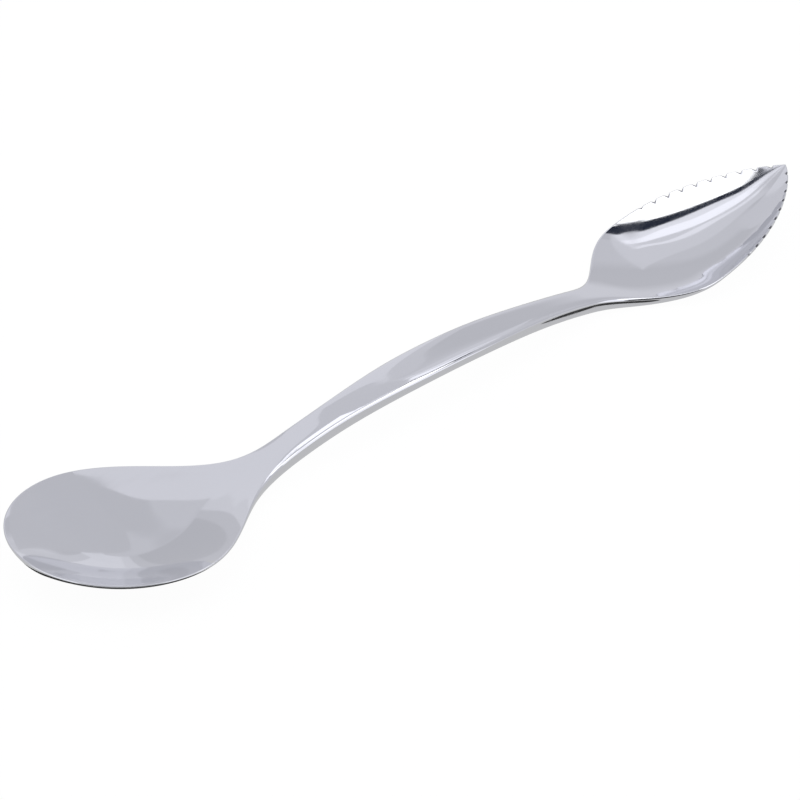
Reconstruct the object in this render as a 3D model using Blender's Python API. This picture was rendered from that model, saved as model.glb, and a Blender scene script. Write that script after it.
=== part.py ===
"""Double-ended fruit scoop in polished stainless steel.

A smooth egg-shaped scoop and a pointed scoop with serrated edges sit at the two ends of an
arched, waisted handle. Metres, Z up. +X runs from the smooth tip to the serrated tip, the part
is even about Y = 0, and both scoops rest on Z = 0.
"""
import math

import bmesh
import bpy
import numpy as np

# Lengths along X, from the smooth tip to the serrated tip
SMOOTH_TIP_TO_WIDEST = 0.0198
SMOOTH_WIDEST_TO_NECK = 0.0420
NECK_TO_NECK = 0.0761
SERRATED_NECK_TO_WIDEST = 0.0265
SERRATED_WIDEST_TO_TIP = 0.0356
WELD_GAP = 0.0003

# Widths over the edges
SMOOTH_WIDTH = 0.0416
SMOOTH_NECK_WIDTH = 0.0067
HANDLE_WIDTH = 0.0096
SERRATED_NECK_WIDTH = 0.0070
SERRATED_WIDTH = 0.0296

# Front of the serrated scoop's outline: 1 would end it in a sharp arch, 0.5 in an ellipse
SERRATED_POINT = 0.85

# Side view: heights of the edge line over its dip beside the smooth neck
SMOOTH_DIP_TO_NECK = 0.0104
SERRATED_NECK_TO_DIP = 0.0110
SMOOTH_TIP_RISE = 0.0019
SMOOTH_RIM_RISE = 0.0018
SMOOTH_SHOULDER_RISE = 0.0009
SMOOTH_NECK_RISE = 0.0017
ARCH_RISE = 0.0049
SERRATED_NECK_RISE = 0.0020
SERRATED_DIP_RISE = 0.0005
SERRATED_RIM_RISE = 0.0029
SERRATED_TIP_RISE = 0.0094

# Hollows: depths at shares of the way from a tip to its neck. Flatness says how the floor differs
# across from a parabola: over 0 it is flatter with steeper edges, under 0 more like a V.
FRONT_SHARE = 0.13
BELLY_SHARE = 0.32
REAR_SHARE = 0.51
THROAT_SHARE = 0.735
SMOOTH_FRONT_DEPTH = 0.0040
SMOOTH_BELLY_DEPTH = 0.0064
SMOOTH_REAR_DEPTH = 0.0035
SMOOTH_THROAT_DEPTH = 0.0009
SMOOTH_FLATNESS = -0.28
SERRATED_FRONT_DEPTH = 0.0022
SERRATED_BELLY_DEPTH = 0.0044
SERRATED_REAR_DEPTH = 0.0044
SERRATED_THROAT_DEPTH = 0.0015
SERRATED_FLATNESS = 0.20
HANDLE_CROWN = 0.0006
NECK_CROWN = 0.0003

# Metal: sheet in the scoops, a thicker bar from the shoulders on and along the handle's edges
SCOOP_SHEET = 0.0009
SCOOP_RIM = 0.0005
NECK_THICKNESS = 0.0022
HANDLE_THICKNESS = 0.0014
SMOOTH_SHOULDER_LENGTH = 0.0321
SERRATED_SHOULDER_LENGTH = 0.0290

# How far the rounded edges reach out past the top face
RIM_ROUND = 0.00025
NECK_ROUND = 0.0008
HANDLE_ROUND = 0.0006
CUTTING_ROUND = 0.0002

# V notches along both edges of the serrated scoop, counted back from its tip. Each one sets the
# edge back a little and is ground into the inner face as a nick that runs out down the wall. The
# last of them are shallower, where the row runs out.
TOOTH_PITCH = 0.0032
TOOTHED_LENGTH = 0.0330
RUN_OUT_NOTCHES = 2.5
NOTCH_MOUTH = 0.0015
NOTCH_FLOOR = 0.0003
NOTCH_SETBACK = 0.00025
NICK_DEPTH = 0.00025
NICK_LENGTH = 0.0010

# Depth of the small flat that each scoop rests on
REST_FLAT = 0.0002

# Facets
ACROSS_STEPS = 12
EDGE_STEPS = 4
FRONT_STEPS = 14
HANDLE_STEPS = 22
SHOULDER_STEPS = 16
WALK_STEPS = 600
SLOPE_STEP = 0.0001
MERGE_DISTANCE = 1e-6
CREASE_ANGLE = math.radians(40)

# Stations along X
OVERALL_LENGTH = (SMOOTH_TIP_TO_WIDEST + SMOOTH_WIDEST_TO_NECK + NECK_TO_NECK
                  + SERRATED_NECK_TO_WIDEST + SERRATED_WIDEST_TO_TIP)
SMOOTH_TIP = -OVERALL_LENGTH / 2
SMOOTH_WIDEST = SMOOTH_TIP + SMOOTH_TIP_TO_WIDEST
SMOOTH_NECK = SMOOTH_WIDEST + SMOOTH_WIDEST_TO_NECK
HANDLE_MIDDLE = SMOOTH_NECK + NECK_TO_NECK / 2
SERRATED_NECK = SMOOTH_NECK + NECK_TO_NECK
SERRATED_WIDEST = SERRATED_NECK + SERRATED_NECK_TO_WIDEST
SERRATED_TIP = OVERALL_LENGTH / 2
STATIONS = (SMOOTH_TIP, SMOOTH_NECK - SMOOTH_SHOULDER_LENGTH, SMOOTH_NECK, HANDLE_MIDDLE,
            SERRATED_NECK, SERRATED_NECK + SERRATED_SHOULDER_LENGTH, SERRATED_TIP)

STEEL_COLOUR = (0.63, 0.63, 0.67, 1.0)
STEEL_ROUGHNESS = 0.12


def blend(t, start, end, start_bend=0.0, end_bend=0.0):
    """Quintic from start to end over t = 0 to 1, level at both ends, with its bends given there."""
    rise = end - start - start_bend / 2
    bend = end_bend - start_bend
    cubic = 10 * rise + 4 * start_bend + bend / 2
    quartic = -15 * rise - 7 * start_bend - bend
    quintic = 6 * rise + 3 * start_bend + bend / 2
    return start + t * t * (start_bend / 2 + t * (cubic + t * (quartic + t * quintic)))


def along(x, values):
    """Value at x that runs smoothly through one value per station."""
    for index in range(len(STATIONS) - 1):
        low, high = STATIONS[index], STATIONS[index + 1]
        if x <= high:
            t = max(0.0, (x - low) / (high - low))
            return blend(t, values[index], values[index + 1])
    return values[-1]


def cubic_spline(knots):
    """Smooth curve through (x, value) knots with no bend at its two ends."""
    xs, values = (np.array(column) for column in zip(*knots))
    gaps = np.diff(xs)
    slopes = np.diff(values) / gaps
    matrix = np.eye(len(xs))
    right = np.zeros(len(xs))
    for i in range(1, len(xs) - 1):
        matrix[i, i - 1:i + 2] = gaps[i - 1], 2 * (gaps[i - 1] + gaps[i]), gaps[i]
        right[i] = 6 * (slopes[i] - slopes[i - 1])
    bends = np.linalg.solve(matrix, right)

    def value(x):
        i = int(np.clip(np.searchsorted(xs, x) - 1, 0, len(gaps) - 1))
        a, b = x - xs[i], xs[i + 1] - x
        ends = values[i] * b + values[i + 1] * a
        curve = bends[i] * b * (b * b - gaps[i] ** 2) + bends[i + 1] * a * (a * a - gaps[i] ** 2)
        return ends / gaps[i] + curve / (6 * gaps[i])

    return value


def half_width(x):
    """Plan outline: egg front, shoulder, waisted handle, shoulder and a pointed arch."""
    if x <= SMOOTH_WIDEST:
        share = (SMOOTH_WIDEST - x) / SMOOTH_TIP_TO_WIDEST
        return SMOOTH_WIDTH / 2 * math.sqrt(max(0.0, 1 - share * share))
    if x <= SMOOTH_NECK:
        bend = -SMOOTH_WIDTH / 2 * (SMOOTH_WIDEST_TO_NECK / SMOOTH_TIP_TO_WIDEST) ** 2
        t = (x - SMOOTH_WIDEST) / SMOOTH_WIDEST_TO_NECK
        return blend(t, SMOOTH_WIDTH / 2, SMOOTH_NECK_WIDTH / 2, start_bend=bend)
    if x <= SERRATED_NECK:
        t = abs(x - HANDLE_MIDDLE) / (NECK_TO_NECK / 2)
        neck = SMOOTH_NECK_WIDTH if x < HANDLE_MIDDLE else SERRATED_NECK_WIDTH
        return blend(t, HANDLE_WIDTH / 2, neck / 2)
    half = SERRATED_WIDTH / 2
    if x <= SERRATED_WIDEST:
        ratio = SERRATED_NECK_TO_WIDEST / SERRATED_WIDEST_TO_TIP
        bend = -SERRATED_POINT * SERRATED_WIDTH * ratio ** 2
        t = (SERRATED_WIDEST - x) / SERRATED_NECK_TO_WIDEST
        return blend(t, half, SERRATED_NECK_WIDTH / 2, start_bend=bend)
    share = (x - SERRATED_WIDEST) / SERRATED_WIDEST_TO_TIP
    return half * max(0.0, 1 - share * share) ** SERRATED_POINT


def hollow_line(tip, neck, depths):
    """Depth of a scoop's floor along X. Mirroring it past the neck makes it run out level there."""
    shares = FRONT_SHARE, BELLY_SHARE, REAR_SHARE, THROAT_SHARE
    scoop = [(tip, 0.0)] + [(tip + share * (neck - tip), depth) for share, depth in zip(shares, depths)]
    mirrored = [(2 * neck - x, depth) for x, depth in scoop]
    return cubic_spline(sorted(scoop + [(neck, 0.0)] + mirrored))


SMOOTH_HOLLOW = hollow_line(SMOOTH_TIP, SMOOTH_NECK, (
    SMOOTH_FRONT_DEPTH, SMOOTH_BELLY_DEPTH, SMOOTH_REAR_DEPTH, SMOOTH_THROAT_DEPTH))
SERRATED_HOLLOW = hollow_line(SERRATED_TIP, SERRATED_NECK, (
    SERRATED_FRONT_DEPTH, SERRATED_BELLY_DEPTH, SERRATED_REAR_DEPTH, SERRATED_THROAT_DEPTH))


def hollow(x):
    """Depth of the scoop's floor below its edges: nothing along the handle."""
    if x < SMOOTH_NECK:
        return max(0.0, SMOOTH_HOLLOW(x))
    if x > SERRATED_NECK:
        return max(0.0, SERRATED_HOLLOW(x))
    return 0.0


def dish(x, across):
    """Rise of the hollow from its floor, 0, to its edge, 1, at a share of the half width."""
    flatness = SMOOTH_FLATNESS if x < HANDLE_MIDDLE else SERRATED_FLATNESS
    return (1 - flatness) * across ** 2 + flatness * across ** 4


def crown(x):
    """Height of the handle's middle over its edges."""
    return along(x, (0.0, 0.0, NECK_CROWN, HANDLE_CROWN, NECK_CROWN, 0.0, 0.0))


def thickness(x, across):
    """Metal across its own face, at a share of the half width."""
    edge = along(x, (SCOOP_RIM, SCOOP_RIM, NECK_THICKNESS, HANDLE_THICKNESS,
                     NECK_THICKNESS, SCOOP_RIM, SCOOP_RIM))
    swell = SCOOP_SHEET - SCOOP_RIM
    middle = along(x, (swell, swell, NECK_CROWN, HANDLE_CROWN, NECK_CROWN, swell, swell))
    return edge + middle * (1 - across ** 4)


def edge_round(x):
    """Reach of the rounded edge past the top face."""
    return along(x, (RIM_ROUND, RIM_ROUND, NECK_ROUND, HANDLE_ROUND,
                     NECK_ROUND, RIM_ROUND, CUTTING_ROUND))


EDGE_LINE = cubic_spline((
    (SMOOTH_TIP, SMOOTH_TIP_RISE),
    (SMOOTH_WIDEST, SMOOTH_RIM_RISE),
    ((SMOOTH_WIDEST + SMOOTH_NECK - SMOOTH_DIP_TO_NECK) / 2, SMOOTH_SHOULDER_RISE),
    (SMOOTH_NECK - SMOOTH_DIP_TO_NECK, 0.0),
    (SMOOTH_NECK, SMOOTH_NECK_RISE),
    (HANDLE_MIDDLE, ARCH_RISE),
    (SERRATED_NECK, SERRATED_NECK_RISE),
    (SERRATED_NECK + SERRATED_NECK_TO_DIP, SERRATED_DIP_RISE),
    (SERRATED_WIDEST, SERRATED_RIM_RISE),
    (SERRATED_TIP, SERRATED_TIP_RISE),
))


def top_height(x, y):
    """Top face before the part is laid on the table."""
    half = half_width(x)
    across = y / half if half else 0.0
    return EDGE_LINE(x) - hollow(x) * (1 - dish(x, across)) + crown(x) * (1 - across ** 4)


def drop(x, y):
    """Upright distance from the top face to the underside."""
    inner = min(max(x, SMOOTH_TIP + SLOPE_STEP), SERRATED_TIP - SLOPE_STEP)
    half = half_width(inner)
    side = min(max(y, -half), half)
    inward = math.copysign(SLOPE_STEP, HANDLE_MIDDLE - inner)
    slope_x = (top_height(inner + inward, side) - top_height(inner, side)) / inward
    nearer = side - math.copysign(min(SLOPE_STEP, half), side)
    slope_y = (top_height(inner, side) - top_height(inner, nearer)) / (side - nearer)
    return thickness(x, side / half) * math.sqrt(1 + slope_x ** 2 + slope_y ** 2)


def lay_on_table():
    """Lift and tilt that set the lowest point of each scoop just under Z = 0."""
    def underside(start, end):
        return [(x, top_height(x, 0.0) - drop(x, 0.0)) for x in np.linspace(start, end, WALK_STEPS)]

    smooth = underside(SMOOTH_TIP, SMOOTH_NECK)
    serrated = underside(SERRATED_NECK, SERRATED_TIP)
    tilt = 0.0
    for _ in range(len(STATIONS)):
        left = min(smooth, key=lambda point: point[1] + tilt * point[0])
        right = min(serrated, key=lambda point: point[1] + tilt * point[0])
        tilt = (left[1] - right[1]) / (right[0] - left[0])
    return -REST_FLAT - left[1] - tilt * left[0], tilt


LIFT, TILT = lay_on_table()


def edge_walk(tip, neck):
    """The outline from a tip to its neck: distance walked, x, half width and outward normal."""
    t = np.linspace(0, 1, WALK_STEPS)
    x = tip + (neck - tip) * t * t
    half = np.array([half_width(value) for value in x])
    both_x = np.concatenate([x[:0:-1], x])
    both_y = np.concatenate([-half[:0:-1], half])
    walked = np.concatenate([[0.0], np.cumsum(np.hypot(np.diff(both_x), np.diff(both_y)))])
    walked -= walked[WALK_STEPS - 1]
    side = math.copysign(1.0, neck - tip)
    normal_x = -side * np.gradient(both_y, walked)[WALK_STEPS - 1:]
    normal_y = side * np.gradient(both_x, walked)[WALK_STEPS - 1:]
    return walked[WALK_STEPS - 1:], x, half, normal_x, normal_y


def notch_share(walked, count):
    """How far into a notch a place on the serrated edge is: 0 on a land, 1 on a notch floor."""
    nearest = min(max(round(walked / TOOTH_PITCH), 1), count)
    off = abs(walked - nearest * TOOTH_PITCH)
    slope = (NOTCH_MOUTH - NOTCH_FLOOR) / 2
    size = min(1.0, (count + 1 - nearest) / RUN_OUT_NOTCHES)
    return size * min(1.0, max(0.0, (NOTCH_MOUTH / 2 - off) / slope))


def wall_slope(x, half, normal_x, normal_y):
    """Rise of the top face towards its edge, per length run."""
    inner_x = x - SLOPE_STEP * normal_x
    inner_half = max(0.0, half - SLOPE_STEP * normal_y)
    run = math.hypot(x - inner_x, half - inner_half)
    return (top_height(x, half) - top_height(inner_x, inner_half) + TILT * (x - inner_x)) / run


def section(x, half, normal_x=0.0, normal_y=1.0, notch=0.0):
    """Closed ring round the part: top face, near edge, underside, far edge and back to the start."""
    reach = edge_round(x)
    row_x = x - reach * normal_x
    row_half = max(0.0, half - reach * normal_y)
    slope = wall_slope(row_x, row_half, normal_x, normal_y)
    shares = [math.cos(math.pi * step / ACROSS_STEPS) for step in range(ACROSS_STEPS + 1)]
    top, under = [], []
    for share in shares:
        cut = max(0.0, notch - (1 - abs(share)) * row_half / NICK_LENGTH)
        px = row_x - cut * NOTCH_SETBACK * normal_x
        py = share * row_half - math.copysign(cut * NOTCH_SETBACK * normal_y, share)
        pz = top_height(px, py) + LIFT + TILT * px
        top.append((px, py, pz - cut * NICK_DEPTH))
        under.append((px, py, pz - drop(px, py)))

    def edge(upper, lower, side):
        middle = (upper[2] + lower[2]) / 2
        height = (upper[2] - lower[2]) / 2
        for step in range(1, EDGE_STEPS):
            angle = math.pi * (0.5 - step / EDGE_STEPS)
            out = reach * math.cos(angle)
            yield (upper[0] + out * normal_x, upper[1] + side * out * normal_y,
                   middle + height * math.sin(angle) + slope * out)

    far = list(edge(top[0], under[0], 1))
    near = list(edge(top[-1], under[-1], -1))
    return top + near + under[::-1] + far[::-1] + top[:1]


def steel():
    """Polished stainless steel."""
    material = bpy.data.materials.new("polished_steel")
    material.use_nodes = True
    shader = material.node_tree.nodes["Principled BSDF"]
    shader.inputs["Base Color"].default_value = STEEL_COLOUR
    shader.inputs["Metallic"].default_value = 1.0
    shader.inputs["Roughness"].default_value = STEEL_ROUGHNESS
    return material


def loft(name, rings, material):
    """Closed solid through the rings: a grid wrapped round them, welded, and capped where it is open."""
    mesh = bpy.data.meshes.new(name)
    form = bmesh.new()
    columns = len(rings[0])
    bmesh.ops.create_grid(form, x_segments=columns - 1, y_segments=len(rings) - 1, size=1.0)
    form.verts.ensure_lookup_table()
    for index, vert in enumerate(form.verts):
        vert.co = rings[index // columns][index % columns]
    bmesh.ops.remove_doubles(form, verts=form.verts, dist=MERGE_DISTANCE)
    bmesh.ops.dissolve_degenerate(form, edges=form.edges, dist=MERGE_DISTANCE)
    bmesh.ops.bisect_plane(form, geom=form.verts[:] + form.edges[:] + form.faces[:],
                           plane_co=(0, 0, 0), plane_no=(0, 0, -1), clear_outer=True)
    open_edges = [edge for edge in form.edges if edge.is_boundary]
    bmesh.ops.holes_fill(form, edges=open_edges)
    bmesh.ops.recalc_face_normals(form, faces=form.faces)
    form.to_mesh(mesh)
    form.free()
    mesh.materials.append(material)
    mesh.shade_smooth()
    mesh.set_sharp_from_angle(angle=CREASE_ANGLE)
    part = bpy.data.objects.new(name, mesh)
    bpy.context.scene.collection.objects.link(part)


def make_smooth_scoop(material):
    """Egg-shaped scoop with a plain rounded rim, from its tip to the weld at its neck."""
    walk = edge_walk(SMOOTH_TIP, SMOOTH_NECK - WELD_GAP / 2)
    widest = np.interp(SMOOTH_WIDEST, walk[1], walk[0])
    front = np.linspace(0, widest, FRONT_STEPS + 1)
    shoulder = np.linspace(widest, walk[0][-1], SHOULDER_STEPS + 1)[1:]
    distances = np.concatenate([front, shoulder])
    rings = [section(*(np.interp(d, walk[0], column) for column in walk[1:])) for d in distances]
    loft("smooth_scoop", rings, material)


def make_handle(material):
    """Arched bar, crowned on top and flat below, from weld to weld."""
    stations = np.linspace(SMOOTH_NECK + WELD_GAP / 2, SERRATED_NECK - WELD_GAP / 2, HANDLE_STEPS + 1)
    loft("handle", [section(x, half_width(x)) for x in stations], material)


def make_serrated_scoop(material):
    """Pointed scoop with notched edges, from its tip to the weld at its neck."""
    walk = edge_walk(SERRATED_TIP, SERRATED_NECK + WELD_GAP / 2)
    count = int(TOOTHED_LENGTH / TOOTH_PITCH)
    offsets = (-NOTCH_MOUTH / 2, -NOTCH_FLOOR / 2, NOTCH_FLOOR / 2, NOTCH_MOUTH / 2)
    notches = [n * TOOTH_PITCH + offset for n in range(1, count + 1) for offset in offsets]
    lands = [(n + 0.5) * TOOTH_PITCH for n in range(count + 1)]
    plain = np.linspace(lands[-1], walk[0][-1], SHOULDER_STEPS + 1)[1:]
    distances = sorted([0.0] + notches + lands) + list(plain)
    rings = []
    for d in distances:
        place = [np.interp(d, walk[0], column) for column in walk[1:]]
        rings.append(section(*place, notch=notch_share(d, count)))
    loft("serrated_scoop", rings, material)


def main():
    for leftover in list(bpy.data.objects):
        bpy.data.objects.remove(leftover, do_unlink=True)
    material = steel()
    make_smooth_scoop(material)
    make_handle(material)
    make_serrated_scoop(material)


main()
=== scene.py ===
"""Looks of a double-ended fruit scoop in polished stainless steel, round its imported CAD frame.

Metres, Z up, in the frame's own axes: +X runs from the smooth tip to the serrated tip. The three
skins repeat the part's dimensions and give its surfaces finely enough for a mirror polish. Only the
notches differ: they are a little narrower and deeper than the part's, as the photograph shows them.
"""
import math

import bmesh
import bpy
import numpy as np
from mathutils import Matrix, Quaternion, Vector


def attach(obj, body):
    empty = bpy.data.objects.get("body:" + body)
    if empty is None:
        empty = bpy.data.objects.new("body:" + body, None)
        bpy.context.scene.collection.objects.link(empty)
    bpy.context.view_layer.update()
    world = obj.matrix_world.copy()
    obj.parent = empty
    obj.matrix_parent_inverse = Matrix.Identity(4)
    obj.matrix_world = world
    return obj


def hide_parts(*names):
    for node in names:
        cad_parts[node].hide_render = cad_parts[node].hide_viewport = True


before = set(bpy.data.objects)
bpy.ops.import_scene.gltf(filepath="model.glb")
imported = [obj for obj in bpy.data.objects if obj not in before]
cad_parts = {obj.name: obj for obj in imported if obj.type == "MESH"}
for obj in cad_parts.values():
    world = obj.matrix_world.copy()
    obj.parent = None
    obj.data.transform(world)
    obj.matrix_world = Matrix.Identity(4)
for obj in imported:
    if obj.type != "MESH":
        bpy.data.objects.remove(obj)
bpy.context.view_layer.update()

# Lengths along X, from the smooth tip to the serrated tip
SMOOTH_TIP_TO_WIDEST = 0.0198
SMOOTH_WIDEST_TO_NECK = 0.0420
NECK_TO_NECK = 0.0761
SERRATED_NECK_TO_WIDEST = 0.0265
SERRATED_WIDEST_TO_TIP = 0.0356

# Widths over the edges
SMOOTH_WIDTH = 0.0416
SMOOTH_NECK_WIDTH = 0.0067
HANDLE_WIDTH = 0.0096
SERRATED_NECK_WIDTH = 0.0070
SERRATED_WIDTH = 0.0296

# Front of the serrated scoop's outline: 1 would end it in a sharp arch, 0.5 in an ellipse
SERRATED_POINT = 0.85

# Side view: how far from each neck the edge line dips, and its heights over the smooth neck's dip
SMOOTH_DIP_TO_NECK = 0.0104
SERRATED_NECK_TO_DIP = 0.0110
SMOOTH_TIP_RISE = 0.0019
SMOOTH_RIM_RISE = 0.0018
SMOOTH_SHOULDER_RISE = 0.0009
SMOOTH_NECK_RISE = 0.0017
ARCH_RISE = 0.0049
SERRATED_NECK_RISE = 0.0020
SERRATED_DIP_RISE = 0.0005
SERRATED_RIM_RISE = 0.0029
SERRATED_TIP_RISE = 0.0094

# Hollows: depths at shares of the way from a tip to its neck. Flatness says how the floor differs
# across from a parabola: over 0 it is flatter with steeper edges, under 0 more like a V.
FRONT_SHARE = 0.13
BELLY_SHARE = 0.32
REAR_SHARE = 0.51
THROAT_SHARE = 0.735
SMOOTH_FRONT_DEPTH = 0.0040
SMOOTH_BELLY_DEPTH = 0.0064
SMOOTH_REAR_DEPTH = 0.0035
SMOOTH_THROAT_DEPTH = 0.0009
SMOOTH_FLATNESS = -0.28
SERRATED_FRONT_DEPTH = 0.0022
SERRATED_BELLY_DEPTH = 0.0044
SERRATED_REAR_DEPTH = 0.0044
SERRATED_THROAT_DEPTH = 0.0015
SERRATED_FLATNESS = 0.20
HANDLE_CROWN = 0.0006
NECK_CROWN = 0.0003

# Metal: sheet in the scoops, thinner at their rims, that thickens over the shoulders into a bar
SCOOP_SHEET = 0.0009
SCOOP_RIM = 0.0005
NECK_THICKNESS = 0.0022
HANDLE_THICKNESS = 0.0014
SMOOTH_SHOULDER_LENGTH = 0.0321
SERRATED_SHOULDER_LENGTH = 0.0290

# How far the rounded edges reach out past the top face, and how square their round is
RIM_ROUND = 0.00025
NECK_ROUND = 0.0008
HANDLE_ROUND = 0.0006
CUTTING_ROUND = 0.0002
RIM_FULLNESS = 2.3
BAR_FULLNESS = 3.2

# V notches along both edges of the serrated scoop, counted back from its tip. Each one sets the
# edge back across the tool and leaves faces in it that are dull from grinding and darkened with
# painted shade for the shade inside the notch. A shallow nick runs on from it down the inner face.
# The last of them are smaller, where the row runs out.
TOOTH_PITCH = 0.0032
TOOTHED_LENGTH = 0.0330
RUN_OUT_NOTCHES = 2.5
NOTCH_MOUTH = 0.0014
NOTCH_FLOOR = 0.0001
NOTCH_SETBACK = 0.0004
NICK_DEPTH = 0.0001
NICK_LENGTH = 0.0007

# Depth of the soft flat that each scoop rests on, and the run-out of its edge
REST_FLAT = 0.0002
REST_BLEND = 0.0001

# Studio: a light table, and a pale tent whose glow changes with the height over the table, given as
# a share of straight up. Overhead, a duller panel fills what doesn't lie past all of its edges. The
# front half of the tent is brighter, with a round dark opening in it, sized by the cosine of its
# half angle. A soft lamp shines straight down.
WHITE = (1.0, 1.0, 1.0)
BLACK = (0.0, 0.0, 0.0)
FLOOR_HALF_SIZE = 4.0
FLOOR_GLOW = 0.972
FLOOR_COLOUR = (0.035, 0.035, 0.035, 1.0)
FLOOR_ROUGHNESS = 0.9
TABLE_GLOW = 0.64
TABLE_GLOW_DROP = 0.0001
TENT_COLOUR = (0.985, 0.99, 1.05)
TENT_HEIGHTS = ((0.0, 0.74), (0.18, 0.74), (0.28, 0.61), (0.46, 0.61), (0.56, 0.68))
PANEL_GLOW = 0.62
PANEL_EDGES = ((1.0, 1.39, -0.79), (1.0, 0.306, -0.50), (1.0, -0.176, -0.224), (1.0, -0.52, 0.12))
PANEL_HEIGHT = 0.53
UP = (0.0, 0.0, 1.0)
FRONT_SIDE = (-0.71, -0.70, 0.0)
FRONT_GLOW = 1.15
OPENING = (-0.69, -0.68, 0.24)
OPENING_COSINE = 0.76
OPENING_GLOW = 0.03
TENT_BLEND = 0.03
TOP_LIGHT_STRENGTH = 0.5
TOP_LIGHT_ANGLE = math.radians(60)

# Cards over the serrated scoop: (x, y) where each band of light ends, from its neck to its tip
CARD_HEIGHT = 0.180
CARD_STEPS = 60
SOFTBOX_EDGE = ((0.139, -0.150), (0.145, -0.180), (0.135, -0.200), (0.110, -0.200), (0.085, -0.190),
                (0.060, -0.160), (0.050, -0.110), (0.064, -0.049))
SOFTBOX_CORNER = ((0.147, -0.031), (0.160, 0.000)), ((0.156, -0.028), (0.164, 0.000))
SOFTBOX_FRONT = (0.1032, 0.036)
BAND_EDGES = (
    ((0.141, -0.037), (0.147, -0.031), (0.145, -0.027), (0.135, -0.023), (0.1175, -0.010),
     (0.107, 0.007), (0.103, 0.023), (0.098, 0.030)),
    ((0.151, -0.016), (0.162, 0.003), (0.160, 0.006), (0.145, 0.003), (0.125, 0.010),
     (0.1135, 0.026), (0.111, 0.048), (0.101, 0.036)),
    ((0.152, -0.014), (0.176, 0.026), (0.179, 0.031), (0.152, 0.018), (0.1325, 0.031),
     (0.120, 0.045), (0.116, 0.062), (0.109, 0.051)),
    ((0.153, -0.012), (0.184, 0.038), (0.191, 0.049), (0.167, 0.045), (0.144, 0.058),
     (0.1315, 0.075), (0.1255, 0.090), (0.119, 0.078)),
    ((0.154, -0.010), (0.200, 0.060), (0.200, 0.061), (0.180, 0.065), (0.1485, 0.066),
     (0.1355, 0.085), (0.1305, 0.104), (0.129, 0.108)),
    ((0.155, -0.008), (0.210, 0.072), (0.208, 0.072), (0.188, 0.075), (0.1585, 0.085),
     (0.1405, 0.095), (0.136, 0.119), (0.134, 0.122)),
    ((0.156, -0.006), (0.320, 0.185), (0.330, 0.200), (0.247, 0.143), (0.1935, 0.140),
     (0.164, 0.144), (0.1495, 0.153), (0.165, 0.220)),
)
FRAME_COLOUR = (0.45, 0.55, 0.9)
FRAME_GLOW = 0.05
BAND_GLOWS = (FRAME_GLOW, 0.97, 1.20, 0.77, 0.98, 0.75)
SOFTBOX_GLOW = 1.8
BAND_LAYER = 0.0003
FRAME_HEIGHT = CARD_HEIGHT - 2 * BAND_LAYER

# The softbox's front end, its dark frame there and the pale fold past it
FRONT_END = ((0.059, -0.068), (0.067, -0.049), (0.0792, -0.025), (0.0902, -0.003), (0.0992, 0.016),
             (0.1062, 0.036))
FRAME_WIDTH = 0.005
FOLD_WIDTH = 0.026
FOLD_GLOW = 0.90

# Cards that light the rear of the smooth scoop's far wall and the near edge of its neck
PATCH_HEIGHT = 0.060
PATCH_LEFT = ((-0.0536, 0.0230), (-0.0526, 0.0259), (-0.0466, 0.0317), (-0.0297, 0.0449),
              (-0.0065, 0.0686), (0.0049, 0.0820), (0.0180, 0.1050), (0.0300, 0.1300))
PATCH_RIGHT = ((-0.0530, 0.0226), (-0.0495, 0.0246), (-0.0447, 0.0267), (-0.0373, 0.0295),
               (-0.0206, 0.0355), (0.0000, 0.0462), (0.0200, 0.0750), (0.0340, 0.1075))
PATCH_GLOW = 0.80
NECK_FOLD = ((-0.021, 0.000), (-0.021, 0.030)), ((0.004, 0.000), (0.004, 0.034))
NECK_GLOW = 1.35

# Upright cards: panes of a window behind the tool, and a flag between the smooth scoop and the
# softbox. Each stands on the line between two feet.
WINDOW_FEET = ((0.1687, 0.1678), (0.1564, 0.1847), (0.1128, 0.2298), (0.0963, 0.2427),
               (0.0790, 0.2544), (0.0226, 0.2819))
WINDOW_HEIGHTS = (0.0, 0.185)
WINDOW_GLOWS = (0.70, 0.81, 0.75, 0.64, 0.58)
FLAG_FEET = ((-0.073, 0.008), (-0.073, 0.023))
FLAG_HEIGHTS = (0.009, 0.022)
FLAG_GLOW = 0.625

# Painted shadows: dark ovals on the table, seen only in the steel, that stand in for the tool's
# shadow under the smooth scoop and before the serrated neck. Centre and radii
PAINTED_SHADOWS = (((-0.095, -0.014), (0.022, 0.024)), ((0.042, -0.0115), (0.008, 0.0037)))
PAINTED_SHADOW_HEIGHT = 0.0002
PAINTED_SHADOW_GLOW = 0.05

# Steel: colour, and the roughness and height of its polish, haze, polishing lines, waves and wear.
# Scales are in waves per metre and the lines are stretched along X. A range is the part of a
# pattern or amount over which its effect grows from least to most.
STEEL_COLOUR = (0.755, 0.76, 0.795, 1.0)
HAZED_COLOUR = (0.745, 0.75, 0.78, 1.0)
# Painted shade: the dark colour that the notch faces are mixed towards, for the shade inside the
# notches
NOTCH_SHADE_COLOUR = (0.16, 0.16, 0.18, 1.0)
EVEN = (1.0, 1.0, 1.0)
HAZE_SCALE = 120.0
HAZE_DETAIL = 3.0
HAZE_RANGE = (0.35, 0.70)
LINES_SCALE = 900.0
LINES_STRETCH = (0.03, 1.0, 1.0)
LINES_DETAIL = 2.0
LINES_RANGE = (0.40, 0.65)
SCUFF_SCALE = 700.0
SCUFF_DETAIL = 2.0
SCUFF_RANGE = (0.45, 0.70)
WAVE_SCALE = 70.0
WAVE_DETAIL = 0.0
GROUND_DULL_RANGE = (0.0, 0.5)
NOTCH_SHADE_RANGE = (0.05, 0.5)
POLISH_ROUGHNESS = (0.035, 0.075)
LINES_ROUGHNESS = 0.03
WEAR_ROUGHNESS = 0.12
GROUND_ROUGHNESS = 0.30
WAVE_HEIGHT = 0.00002
LINES_HEIGHT = 0.0000004

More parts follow.
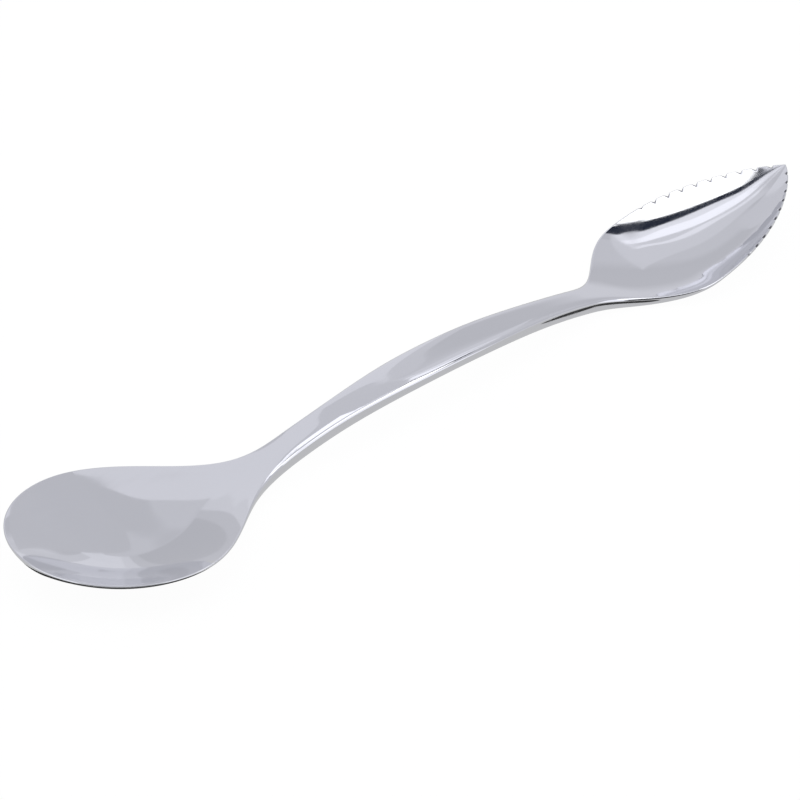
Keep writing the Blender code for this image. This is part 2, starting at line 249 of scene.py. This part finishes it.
# Camera: angles in degrees, and a focal length in pixels, as the photograph's width is
CAMERA_TURN = 45.125
CAMERA_PITCH = 30.872
CAMERA_ROLL = -0.531
CAMERA_TARGET = (-0.00828, 0.00281, 0.0)
CAMERA_DISTANCE = 0.7086
CAMERA_FOCAL = 3798.5
PHOTO_WIDTH = 800
SENSOR_WIDTH = 36.0
CLIP_START = 0.01
CLIP_END = 20.0

# Fineness of the skins, and rounds of laying the part on the table
ACROSS_STEPS = 56
EDGE_STEPS = 10
SMOOTH_STEP = 0.00028
HANDLE_STEP = 0.0004
TOOTHED_STEP = 0.0001
SHOULDER_STEP = 0.0003
WALK_STEPS = 3000
SLOPE_STEP = 0.0001
MERGE_DISTANCE = 2e-7
LAY_ROUNDS = 7

# Stations along X
OVERALL_LENGTH = (SMOOTH_TIP_TO_WIDEST + SMOOTH_WIDEST_TO_NECK + NECK_TO_NECK
                  + SERRATED_NECK_TO_WIDEST + SERRATED_WIDEST_TO_TIP)
SMOOTH_TIP = -OVERALL_LENGTH / 2
SMOOTH_WIDEST = SMOOTH_TIP + SMOOTH_TIP_TO_WIDEST
SMOOTH_NECK = SMOOTH_WIDEST + SMOOTH_WIDEST_TO_NECK
HANDLE_MIDDLE = SMOOTH_NECK + NECK_TO_NECK / 2
SERRATED_NECK = SMOOTH_NECK + NECK_TO_NECK
SERRATED_WIDEST = SERRATED_NECK + SERRATED_NECK_TO_WIDEST
SERRATED_TIP = OVERALL_LENGTH / 2
STATIONS = np.array((SMOOTH_TIP, SMOOTH_NECK - SMOOTH_SHOULDER_LENGTH, SMOOTH_NECK, HANDLE_MIDDLE,
                     SERRATED_NECK, SERRATED_NECK + SERRATED_SHOULDER_LENGTH, SERRATED_TIP))


def blend(t, start, end, start_bend=0.0, end_bend=0.0):
    """Quintic from start to end over t = 0 to 1, level at both ends, with its bends given there."""
    rise = end - start - start_bend / 2
    bend = end_bend - start_bend
    cubic = 10 * rise + 4 * start_bend + bend / 2
    quartic = -15 * rise - 7 * start_bend - bend
    quintic = 6 * rise + 3 * start_bend + bend / 2
    return start + t * t * (start_bend / 2 + t * (cubic + t * (quartic + t * quintic)))


def along(x, values):
    """Value at x that runs smoothly through one value per station."""
    values = np.array(values)
    index = np.clip(np.searchsorted(STATIONS, x) - 1, 0, len(STATIONS) - 2)
    t = np.clip((x - STATIONS[index]) / (STATIONS[index + 1] - STATIONS[index]), 0, 1)
    return blend(t, values[index], values[index + 1])


def cubic_spline(knots):
    """Smooth curve through (x, value) knots with no bend at its two ends."""
    xs, values = (np.array(column) for column in zip(*knots))
    gaps = np.diff(xs)
    slopes = np.diff(values) / gaps
    matrix = np.eye(len(xs))
    right = np.zeros(len(xs))
    for i in range(1, len(xs) - 1):
        matrix[i, i - 1:i + 2] = gaps[i - 1], 2 * (gaps[i - 1] + gaps[i]), gaps[i]
        right[i] = 6 * (slopes[i] - slopes[i - 1])
    bends = np.linalg.solve(matrix, right)

    def value(x):
        i = np.clip(np.searchsorted(xs, x) - 1, 0, len(gaps) - 1)
        a = x - xs[i]
        b = xs[i + 1] - x
        gap = gaps[i]
        ends = values[i] * b + values[i + 1] * a
        bow = bends[i] * b * (b * b - gap ** 2) + bends[i + 1] * a * (a * a - gap ** 2)
        return ends / gap + bow / (6 * gap)

    return value


def half_width(x):
    """Plan outline: egg front, shoulder, waisted handle, shoulder and a pointed arch."""
    share = np.clip((SMOOTH_WIDEST - x) / SMOOTH_TIP_TO_WIDEST, 0, 1)
    egg = SMOOTH_WIDTH / 2 * np.sqrt(1 - share * share)
    bend = -SMOOTH_WIDTH / 2 * (SMOOTH_WIDEST_TO_NECK / SMOOTH_TIP_TO_WIDEST) ** 2
    t = (x - SMOOTH_WIDEST) / SMOOTH_WIDEST_TO_NECK
    egg_shoulder = blend(t, SMOOTH_WIDTH / 2, SMOOTH_NECK_WIDTH / 2, start_bend=bend)
    neck = np.where(x < HANDLE_MIDDLE, SMOOTH_NECK_WIDTH, SERRATED_NECK_WIDTH)
    bar = blend(np.abs(x - HANDLE_MIDDLE) / (NECK_TO_NECK / 2), HANDLE_WIDTH / 2, neck / 2)
    half = SERRATED_WIDTH / 2
    ratio = SERRATED_NECK_TO_WIDEST / SERRATED_WIDEST_TO_TIP
    bend = -SERRATED_POINT * SERRATED_WIDTH * ratio ** 2
    t = (SERRATED_WIDEST - x) / SERRATED_NECK_TO_WIDEST
    leaf_shoulder = blend(t, half, SERRATED_NECK_WIDTH / 2, start_bend=bend)
    share = np.clip((x - SERRATED_WIDEST) / SERRATED_WIDEST_TO_TIP, 0, 1)
    leaf = half * (1 - share * share) ** SERRATED_POINT
    ends = SMOOTH_WIDEST, SMOOTH_NECK, SERRATED_NECK, SERRATED_WIDEST
    return np.select([x <= end for end in ends], [egg, egg_shoulder, bar, leaf_shoulder], leaf)


def hollow_line(tip, neck, depths):
    """Depth of a scoop's floor along X. Mirroring it past the neck makes it run out level there."""
    shares = FRONT_SHARE, BELLY_SHARE, REAR_SHARE, THROAT_SHARE
    places = [tip + share * (neck - tip) for share in shares]
    scoop = [(tip, 0.0), *zip(places, depths)]
    mirrored = [(2 * neck - x, depth) for x, depth in scoop]
    return cubic_spline(sorted(scoop + [(neck, 0.0)] + mirrored))


SMOOTH_HOLLOW = hollow_line(SMOOTH_TIP, SMOOTH_NECK, (
    SMOOTH_FRONT_DEPTH, SMOOTH_BELLY_DEPTH, SMOOTH_REAR_DEPTH, SMOOTH_THROAT_DEPTH))
SERRATED_HOLLOW = hollow_line(SERRATED_TIP, SERRATED_NECK, (
    SERRATED_FRONT_DEPTH, SERRATED_BELLY_DEPTH, SERRATED_REAR_DEPTH, SERRATED_THROAT_DEPTH))


def hollow(x):
    """Depth of the scoop's floor below its edges: nothing along the handle."""
    smooth = SMOOTH_HOLLOW(np.minimum(x, SMOOTH_NECK))
    serrated = SERRATED_HOLLOW(np.maximum(x, SERRATED_NECK))
    return np.maximum(0.0, np.where(x < HANDLE_MIDDLE, smooth, serrated))


def dish(x, across):
    """Rise of the hollow from its floor, 0, to its edge, 1, at a share of the half width."""
    flatness = np.where(x < HANDLE_MIDDLE, SMOOTH_FLATNESS, SERRATED_FLATNESS)
    return (1 - flatness) * across ** 2 + flatness * across ** 4


def crown(x):
    """Height of the handle's middle over its edges."""
    return along(x, (0.0, 0.0, NECK_CROWN, HANDLE_CROWN, NECK_CROWN, 0.0, 0.0))


def thickness(x, across):
    """Metal across its own face, at a share of the half width."""
    edge = along(x, (SCOOP_RIM, SCOOP_RIM, NECK_THICKNESS, HANDLE_THICKNESS,
                     NECK_THICKNESS, SCOOP_RIM, SCOOP_RIM))
    swell = SCOOP_SHEET - SCOOP_RIM
    middle = along(x, (swell, swell, NECK_CROWN, HANDLE_CROWN, NECK_CROWN, swell, swell))
    return edge + middle * (1 - across ** 4)


def edge_round(x):
    """Reach of the rounded edge past the top face."""
    return along(x, (RIM_ROUND, RIM_ROUND, NECK_ROUND, HANDLE_ROUND,
                     NECK_ROUND, RIM_ROUND, CUTTING_ROUND))


def edge_fullness(x):
    """Exponent of the edge's round: nearly an ellipse on the scoops, squarer along the bar."""
    return along(x, (RIM_FULLNESS, RIM_FULLNESS, BAR_FULLNESS, BAR_FULLNESS,
                     BAR_FULLNESS, RIM_FULLNESS, RIM_FULLNESS))


EDGE_LINE = cubic_spline((
    (SMOOTH_TIP, SMOOTH_TIP_RISE),
    (SMOOTH_WIDEST, SMOOTH_RIM_RISE),
    ((SMOOTH_WIDEST + SMOOTH_NECK - SMOOTH_DIP_TO_NECK) / 2, SMOOTH_SHOULDER_RISE),
    (SMOOTH_NECK - SMOOTH_DIP_TO_NECK, 0.0),
    (SMOOTH_NECK, SMOOTH_NECK_RISE),
    (HANDLE_MIDDLE, ARCH_RISE),
    (SERRATED_NECK, SERRATED_NECK_RISE),
    (SERRATED_NECK + SERRATED_NECK_TO_DIP, SERRATED_DIP_RISE),
    (SERRATED_WIDEST, SERRATED_RIM_RISE),
    (SERRATED_TIP, SERRATED_TIP_RISE),
))


def top_height(x, y):
    """Top face before the part is laid on the table."""
    across = y / np.maximum(half_width(x), MERGE_DISTANCE)
    return EDGE_LINE(x) - hollow(x) * (1 - dish(x, across)) + crown(x) * (1 - across ** 4)


def drop(x, y):
    """Upright distance from the top face to the underside."""
    inner = np.clip(x, SMOOTH_TIP + SLOPE_STEP, SERRATED_TIP - SLOPE_STEP)
    half = half_width(inner)
    side = np.clip(y, -half, half)
    inward = np.copysign(SLOPE_STEP, HANDLE_MIDDLE - inner)
    slope_x = (top_height(inner + inward, side) - top_height(inner, side)) / inward
    nearer = side - np.copysign(np.minimum(SLOPE_STEP, half), side)
    slope_y = (top_height(inner, side) - top_height(inner, nearer)) / (side - nearer)
    return thickness(x, side / half) * np.sqrt(1 + slope_x ** 2 + slope_y ** 2)


def lay_on_table():
    """Lift and tilt that set the lowest point of each scoop just under Z = 0."""
    smooth = np.linspace(SMOOTH_TIP, SMOOTH_NECK, WALK_STEPS)
    serrated = np.linspace(SERRATED_NECK, SERRATED_TIP, WALK_STEPS)
    smooth_under = top_height(smooth, 0.0) - drop(smooth, 0.0)
    serrated_under = top_height(serrated, 0.0) - drop(serrated, 0.0)
    tilt = 0.0
    for _ in range(LAY_ROUNDS):
        left = np.argmin(smooth_under + tilt * smooth)
        right = np.argmin(serrated_under + tilt * serrated)
        tilt = (smooth_under[left] - serrated_under[right]) / (serrated[right] - smooth[left])
    return -REST_FLAT - smooth_under[left] - tilt * smooth[left], tilt


LIFT, TILT = lay_on_table()


def edge_walk(tip, neck):
    """The outline from a tip to its neck: distance walked, x, half width and outward normal."""
    t = np.linspace(0, 1, WALK_STEPS)
    x = tip + (neck - tip) * t * t
    half = half_width(x)
    both_x = np.concatenate([x[:0:-1], x])
    both_y = np.concatenate([-half[:0:-1], half])
    walked = np.concatenate([[0.0], np.cumsum(np.hypot(np.diff(both_x), np.diff(both_y)))])
    walked -= walked[WALK_STEPS - 1]
    side = math.copysign(1.0, neck - tip)
    normal_x = -side * np.gradient(both_y, walked)[WALK_STEPS - 1:]
    normal_y = side * np.gradient(both_x, walked)[WALK_STEPS - 1:]
    return walked[WALK_STEPS - 1:], x, half, normal_x, normal_y


def notch_share(walked, count):
    """How far into a notch a place on the serrated edge is: 0 on a land, 1 on a notch floor."""
    nearest = np.clip(np.round(walked / TOOTH_PITCH), 1, count)
    off = np.abs(walked - nearest * TOOTH_PITCH)
    slope = (NOTCH_MOUTH - NOTCH_FLOOR) / 2
    size = np.minimum(1.0, (count + 1 - nearest) / RUN_OUT_NOTCHES)
    return size * np.clip((NOTCH_MOUTH / 2 - off) / slope, 0, 1)


def rest(z):
    """Height of the underside, eased onto the flat that a scoop rests on."""
    return (z + np.sqrt(z * z + REST_BLEND ** 2)) / 2


def rings(x, half, normal_x, normal_y, notch):
    """Rings round the part, one per station: top face, near edge, underside and far edge.

    Also returned is how far each point lies in a notch's face, which is dull from grinding and
    darkened with painted shade: 0 outside, 1 on its floor.
    """
    reach = edge_round(x)
    row_x = x - reach * normal_x
    row_half = np.maximum(0.0, half - reach * normal_y)
    top = []
    under = []
    for step in range(ACROSS_STEPS + 1):
        share = math.cos(math.pi * step / ACROSS_STEPS)
        cut = np.maximum(0.0, notch - (1 - abs(share)) * row_half / NICK_LENGTH)
        y = share * row_half - math.copysign(1, share) * cut * NOTCH_SETBACK
        z = top_height(row_x, y) + LIFT + TILT * row_x
        top.append(np.stack([row_x, y, z - cut * NICK_DEPTH], axis=-1))
        under.append(np.stack([row_x, y, rest(z - drop(row_x, y))], axis=-1))

    inner_x = row_x - SLOPE_STEP * normal_x
    inner_y = np.maximum(0.0, row_half - SLOPE_STEP * normal_y)
    run = np.hypot(row_x - inner_x, row_half - inner_y)
    rise = top_height(row_x, row_half) - top_height(inner_x, inner_y) + TILT * (row_x - inner_x)
    slope = rise / run
    fullness = 2 / edge_fullness(x)

    def edge(upper, lower, side):
        middle = (upper[:, 2] + lower[:, 2]) / 2
        height = (upper[:, 2] - lower[:, 2]) / 2
        points = []
        for step in range(1, EDGE_STEPS):
            angle = math.pi * (0.5 - step / EDGE_STEPS)
            out = reach * math.cos(angle) ** fullness
            up = math.copysign(1, math.sin(angle)) * abs(math.sin(angle)) ** fullness
            edge_x = upper[:, 0] + out * normal_x
            edge_y = upper[:, 1] + side * out * normal_y
            edge_z = middle + height * up + slope * out
            points.append(np.stack([edge_x, edge_y, edge_z], axis=-1))
        return points

    far = edge(top[0], under[0], 1)
    near = edge(top[-1], under[-1], -1)
    grid = np.stack(top + near + under[::-1] + far[::-1] + top[:1], axis=1)
    plain = [np.zeros_like(notch)]
    cut_face = [notch] * EDGE_STEPS
    columns = [notch] + plain * (ACROSS_STEPS - 1) + cut_face + plain * len(under) + cut_face
    return grid, np.stack(columns, axis=1)


def sheet(name, grid, **amounts):
    """Mesh through a grid of points, rows by columns, with an attribute for each named amount."""
    rows, columns = grid.shape[:2]
    form = bmesh.new()
    bmesh.ops.create_grid(form, x_segments=columns - 1, y_segments=rows - 1, size=1.0)
    mesh = bpy.data.meshes.new(name)
    form.to_mesh(mesh)
    form.free()
    mesh.vertices.foreach_set("co", grid.astype(np.float32).ravel())
    for key, amount in amounts.items():
        layer = mesh.attributes.new(key, "FLOAT", "POINT")
        layer.data.foreach_set("value", amount.astype(np.float32).ravel())
    return mesh


def skin(name, grid, ground, material):
    """Closed skin through the rings: a grid wrapped round them, welded, and capped at open ends."""
    wear = np.zeros(grid.shape[:2])
    wear[:, ACROSS_STEPS:ACROSS_STEPS + EDGE_STEPS + 1] = 1.0
    wear[:, -EDGE_STEPS - 1:] = 1.0
    wear[:, 0] = 1.0
    mesh = sheet(name, grid, wear=wear, ground=ground)
    form = bmesh.new()
    form.from_mesh(mesh)
    bmesh.ops.remove_doubles(form, verts=form.verts, dist=MERGE_DISTANCE)
    bmesh.ops.dissolve_degenerate(form, edges=form.edges, dist=MERGE_DISTANCE)
    for face in form.faces:
        face.smooth = True
    open_edges = [edge for edge in form.edges if edge.is_boundary]
    for edge in open_edges:
        edge.smooth = False
    bmesh.ops.holes_fill(form, edges=open_edges)
    bmesh.ops.recalc_face_normals(form, faces=form.faces)
    form.to_mesh(mesh)
    form.free()
    mesh.materials.append(material)
    piece = bpy.data.objects.new(name, mesh)
    bpy.context.scene.collection.objects.link(piece)
    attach(piece, "root")
    return piece


def walk_rings(tip, neck, distances, notches=0):
    """Rings at distances walked along an outline from its tip."""
    walk = edge_walk(tip, neck)
    places = [np.interp(distances, walk[0], column) for column in walk[1:]]
    notch = notch_share(distances, notches) if notches else np.zeros(len(distances))
    return rings(*places, notch)


def steps(start, end, step):
    """Even places from start to end, about a step apart."""
    return np.linspace(start, end, int(round((end - start) / step)) + 1)


def make_smooth_scoop(material):
    """Egg-shaped scoop with a plain rounded rim."""
    length = edge_walk(SMOOTH_TIP, SMOOTH_NECK)[0][-1]
    grid, ground = walk_rings(SMOOTH_TIP, SMOOTH_NECK, steps(0, length, SMOOTH_STEP))
    piece = skin("smooth_scoop_skin", grid, ground, material)
    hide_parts("smooth_scoop")


def make_handle(material):
    """Arched, crowned bar between the two necks."""
    x = steps(SMOOTH_NECK, SERRATED_NECK, HANDLE_STEP)
    zero = np.zeros(len(x))
    grid, ground = rings(x, half_width(x), zero, zero + 1, zero)
    piece = skin("handle_skin", grid, ground, material)
    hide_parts("handle")


def make_serrated_scoop(material):
    """Pointed scoop with V notches along both edges."""
    length = edge_walk(SERRATED_TIP, SERRATED_NECK)[0][-1]
    count = int(TOOTHED_LENGTH / TOOTH_PITCH)
    toothed = (count + 0.5) * TOOTH_PITCH
    notched = steps(0, toothed, TOOTHED_STEP)
    shoulder = steps(toothed, length, SHOULDER_STEP)[1:]
    distances = np.concatenate([notched, shoulder])
    grid, ground = walk_rings(SERRATED_TIP, SERRATED_NECK, distances, count)
    piece = skin("serrated_scoop_skin", grid, ground, material)
    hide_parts("serrated_scoop")


def maths(tree, operation, first, second):
    """Sum or product of two linked values."""
    node = tree.nodes.new("ShaderNodeMath")
    node.operation = operation
    tree.links.new(first, node.inputs[0])
    tree.links.new(second, node.inputs[1])
    return node.outputs["Value"]


def ranged(tree, value, limits, results=(0.0, 1.0), interpolation="LINEAR"):
    """Linked value taken from between two limits to between two results."""
    node = tree.nodes.new("ShaderNodeMapRange")
    node.interpolation_type = interpolation
    node.inputs["From Min"].default_value = limits[0]
    node.inputs["From Max"].default_value = limits[1]
    node.inputs["To Min"].default_value = results[0]
    node.inputs["To Max"].default_value = results[1]
    tree.links.new(value, node.inputs["Value"])
    return node.outputs["Result"]


def mixed(tree, data_type, share, start, end):
    """Mix of two numbers or two colours by a linked share. Each is linked too, or set as it is."""
    node = tree.nodes.new("ShaderNodeMix")
    node.data_type = data_type
    tree.links.new(share, node.inputs["Factor"])
    kind = "RGBA" if data_type == "RGBA" else "VALUE"
    ends = [socket for socket in node.inputs if socket.type == kind and socket.name in ("A", "B")]
    for value, socket in zip((start, end), ends):
        if isinstance(value, bpy.types.NodeSocket):
            tree.links.new(value, socket)
        else:
            socket.default_value = value
    return next(socket for socket in node.outputs if socket.type == kind)


def noise(tree, scale, stretch, detail):
    """Noise pattern on the piece's own coordinates."""
    place = tree.nodes.new("ShaderNodeTexCoord")
    mapping = tree.nodes.new("ShaderNodeMapping")
    mapping.inputs["Scale"].default_value = stretch
    tree.links.new(place.outputs["Object"], mapping.inputs["Vector"])
    texture = tree.nodes.new("ShaderNodeTexNoise")
    texture.inputs["Scale"].default_value = scale
    texture.inputs["Detail"].default_value = detail
    tree.links.new(mapping.outputs["Vector"], texture.inputs["Vector"])
    return texture.outputs["Fac"]


def attribute(tree, name):
    """Amount that the skin carries on its points."""
    node = tree.nodes.new("ShaderNodeAttribute")
    node.attribute_name = name
    return node.outputs["Fac"]


def bump(tree, height, distance):
    """Bump node over a height pattern."""
    node = tree.nodes.new("ShaderNodeBump")
    node.inputs["Distance"].default_value = distance
    tree.links.new(height, node.inputs["Height"])
    return node


def polished_steel():
    """Mirror-polished stainless steel with polishing lines, haze, worn edges, and notch faces that
    are dull from grinding and darkened with painted shade.
    """
    material = bpy.data.materials.new("polished_steel")
    material.use_nodes = True
    tree = material.node_tree
    shader = tree.nodes["Principled BSDF"]
    shader.inputs["Metallic"].default_value = 1.0
    haze = noise(tree, HAZE_SCALE, EVEN, HAZE_DETAIL)
    lines = noise(tree, LINES_SCALE, LINES_STRETCH, LINES_DETAIL)
    scuffs = noise(tree, SCUFF_SCALE, EVEN, SCUFF_DETAIL)
    waves = noise(tree, WAVE_SCALE, EVEN, WAVE_DETAIL)
    ground = attribute(tree, "ground")

    scuffed = ranged(tree, scuffs, SCUFF_RANGE, (0.0, WEAR_ROUGHNESS))
    worn = maths(tree, "MULTIPLY", attribute(tree, "wear"), scuffed)
    rough = maths(tree, "ADD", ranged(tree, haze, HAZE_RANGE, POLISH_ROUGHNESS), worn)
    rough = maths(tree, "ADD", rough, ranged(tree, lines, LINES_RANGE, (0.0, LINES_ROUGHNESS)))
    dull = ranged(tree, ground, GROUND_DULL_RANGE, (0.0, GROUND_ROUGHNESS))
    rough = maths(tree, "ADD", rough, dull)
    tree.links.new(rough, shader.inputs["Roughness"])

    colour = mixed(tree, "RGBA", haze, STEEL_COLOUR, HAZED_COLOUR)
    # Painted shade: the notch faces are darkened for the shade inside the notches
    colour = mixed(tree, "RGBA", ranged(tree, ground, NOTCH_SHADE_RANGE), colour, NOTCH_SHADE_COLOUR)
    tree.links.new(colour, shader.inputs["Base Color"])

    wavy = bump(tree, waves, WAVE_HEIGHT)
    lined = bump(tree, lines, LINES_HEIGHT)
    tree.links.new(wavy.outputs["Normal"], lined.inputs["Normal"])
    tree.links.new(lined.outputs["Normal"], shader.inputs["Normal"])
    return material


def glow(name, colour, strength):
    """Evenly lit studio surface."""
    material = bpy.data.materials.new(name)
    material.use_nodes = True
    shader = material.node_tree.nodes["Principled BSDF"]
    shader.inputs["Base Color"].default_value = (*BLACK, 1.0)
    shader.inputs["Specular IOR Level"].default_value = 0.0
    shader.inputs["Emission Color"].default_value = (*colour, 1.0)
    shader.inputs["Emission Strength"].default_value = strength
    return material


def card(name, grid, colour, strength):
    """Studio card that only shows in the steel."""
    mesh = sheet(name, grid)
    mesh.materials.append(glow(name, colour, strength))
    piece = bpy.data.objects.new(name, mesh)
    bpy.context.scene.collection.objects.link(piece)
    piece.visible_camera = False
    piece.visible_diffuse = False
    piece.visible_shadow = False


def curve(knots, height):
    """Level smooth curve through (x, y) knots."""
    place = np.linspace(0, len(knots) - 1, CARD_STEPS)
    x, y = (cubic_spline(list(enumerate(column)))(place) for column in zip(*knots))
    return np.stack([x, y, np.full(CARD_STEPS, height)], axis=-1)


def band(name, left, right, height, colour, strength):
    """Level card between two curves."""
    card(name, np.stack([curve(left, height), curve(right, height)], axis=1), colour, strength)


def upright(name, feet, heights, colour, strength):
    """Upright card over the line between two feet."""
    corners = np.array([[(x, y, height) for x, y in feet] for height in heights])
    card(name, corners, colour, strength)


def make_floor():
    """Plain white light table, and the duller glow that the steel mirrors in its place."""
    material = glow("studio_floor", WHITE, FLOOR_GLOW)
    shader = material.node_tree.nodes["Principled BSDF"]
    shader.inputs["Base Color"].default_value = FLOOR_COLOUR
    shader.inputs["Roughness"].default_value = FLOOR_ROUGHNESS
    ends = -FLOOR_HALF_SIZE, FLOOR_HALF_SIZE
    corners = np.array([[(x, y, 0.0) for x in ends] for y in ends])
    mesh = sheet("studio_floor", corners)
    mesh.materials.append(material)
    floor = bpy.data.objects.new("studio_floor", mesh)
    floor.visible_glossy = False
    bpy.context.scene.collection.objects.link(floor)
    card("table_glow", corners - np.array((0.0, 0.0, TABLE_GLOW_DROP)), WHITE, TABLE_GLOW)


def make_softbox():
    """Softbox over the serrated scoop, the folds of the tent beside it, and its dark frame."""
    lit_end = BAND_EDGES[0][:-1] + (SOFTBOX_FRONT,)
    band("softbox", SOFTBOX_EDGE, lit_end, CARD_HEIGHT, WHITE, SOFTBOX_GLOW)
    for index, strength in enumerate(BAND_GLOWS):
        name = "tent_fold_%d" % (index + 1)
        colour = TENT_COLOUR if index else FRAME_COLOUR
        height = CARD_HEIGHT + (index - 1) * BAND_LAYER
        band(name, BAND_EDGES[index], BAND_EDGES[index + 1], height, colour, strength)
    frame_end = tuple((x - FRAME_WIDTH, y) for x, y in FRONT_END)
    fold_end = tuple((x - FOLD_WIDTH, y) for x, y in frame_end)
    band("softbox_corner", *SOFTBOX_CORNER, FRAME_HEIGHT, FRAME_COLOUR, FRAME_GLOW)
    band("softbox_frame", FRONT_END, frame_end, FRAME_HEIGHT, FRAME_COLOUR, FRAME_GLOW)
    band("front_fold", frame_end, fold_end, FRAME_HEIGHT, TENT_COLOUR, FOLD_GLOW)


def make_cards():
    """Cards for the smooth scoop and its neck, window panes behind the tool, and a flag."""
    band("patch", PATCH_LEFT, PATCH_RIGHT, PATCH_HEIGHT, TENT_COLOUR, PATCH_GLOW)
    band("neck_fold", *NECK_FOLD, PATCH_HEIGHT, TENT_COLOUR, NECK_GLOW)
    for index, strength in enumerate(WINDOW_GLOWS):
        feet = WINDOW_FEET[index:index + 2]
        upright("pane_%d" % (index + 1), feet, WINDOW_HEIGHTS, TENT_COLOUR, strength)
    upright("flag", FLAG_FEET, FLAG_HEIGHTS, TENT_COLOUR, FLAG_GLOW)


def make_painted_shadows():
    """Dark ovals just over the table, seen only in the steel: painted shadow for the tool's shadow
    on the table.
    """
    angle = np.linspace(0, 2 * math.pi, CARD_STEPS)
    for index, (centre, radii) in enumerate(PAINTED_SHADOWS):
        middle = np.array((*centre, PAINTED_SHADOW_HEIGHT))
        ring = np.stack([radii[0] * np.cos(angle), radii[1] * np.sin(angle), 0 * angle], axis=-1)
        shade = np.stack([middle + ring, middle + 0 * ring], axis=1)
        card("floor_painted_shadow_%d" % (index + 1), shade, WHITE, PAINTED_SHADOW_GLOW)


def make_tent():
    """Pale tent round the table, with its overhead panel, brighter front and dark opening."""
    world = bpy.data.worlds.new("tent")
    bpy.context.scene.world = world
    world.use_nodes = True
    tree = world.node_tree
    direction = tree.nodes.new("ShaderNodeTexCoord").outputs["Generated"]

    def towards(vector, past=0.0):
        node = tree.nodes.new("ShaderNodeVectorMath")
        node.operation = "DOT_PRODUCT"
        node.inputs[1].default_value = vector
        tree.links.new(direction, node.inputs[0])
        limits = past - TENT_BLEND, past + TENT_BLEND
        return ranged(tree, node.outputs["Value"], limits, interpolation="SMOOTHSTEP")

    split = tree.nodes.new("ShaderNodeSeparateXYZ")
    tree.links.new(direction, split.inputs["Vector"])
    height = tree.nodes.new("ShaderNodeValToRGB")
    elements = height.color_ramp.elements
    while len(elements) < len(TENT_HEIGHTS):
        elements.new(0.5)
    for element, (position, value) in zip(elements, TENT_HEIGHTS):
        element.position = position
        element.color = (value, value, value, 1.0)
    tree.links.new(split.outputs["Z"], height.inputs["Fac"])
    beside = towards(PANEL_EDGES[0])
    for edge in PANEL_EDGES[1:]:
        beside = maths(tree, "MULTIPLY", beside, towards(edge))
    upper = mixed(tree, "FLOAT", beside, PANEL_GLOW, height.outputs["Color"])
    tent = mixed(tree, "FLOAT", towards(UP, PANEL_HEIGHT), height.outputs["Color"], upper)
    tent = mixed(tree, "FLOAT", towards(FRONT_SIDE), tent, FRONT_GLOW)
    tent = mixed(tree, "FLOAT", towards(OPENING, OPENING_COSINE), tent, OPENING_GLOW)
    background = tree.nodes["Background"]
    background.inputs["Color"].default_value = (*TENT_COLOUR, 1.0)
    tree.links.new(tent, background.inputs["Strength"])


def make_lamp():
    """Soft light from above that isn't seen in the steel."""
    lamp = bpy.data.lights.new("top_light", "SUN")
    lamp.energy = TOP_LIGHT_STRENGTH
    lamp.angle = TOP_LIGHT_ANGLE
    top = bpy.data.objects.new("top_light", lamp)
    top.visible_glossy = False
    bpy.context.scene.collection.objects.link(top)


def make_camera():
    """Camera at the photograph's angle, with plain colours."""
    turn = math.radians(CAMERA_TURN)
    pitch = math.radians(CAMERA_PITCH)
    level = math.cos(pitch)
    look = Vector((level * math.sin(turn), level * math.cos(turn), -math.sin(pitch)))
    data = bpy.data.cameras.new("camera")
    data.sensor_width = SENSOR_WIDTH
    data.lens = CAMERA_FOCAL / PHOTO_WIDTH * SENSOR_WIDTH
    data.clip_start = CLIP_START
    data.clip_end = CLIP_END
    camera = bpy.data.objects.new("camera", data)
    camera.location = Vector(CAMERA_TARGET) - CAMERA_DISTANCE * look
    roll = Quaternion(UP, math.radians(CAMERA_ROLL))
    camera.rotation_euler = (look.to_track_quat("-Z", "Y") @ roll).to_euler()
    bpy.context.scene.collection.objects.link(camera)
    bpy.context.scene.camera = camera
    bpy.context.scene.view_settings.view_transform = "Standard"


steel = polished_steel()
make_smooth_scoop(steel)
make_handle(steel)
make_serrated_scoop(steel)
make_floor()
make_softbox()
make_cards()
make_painted_shadows()
make_tent()
make_lamp()
make_camera()
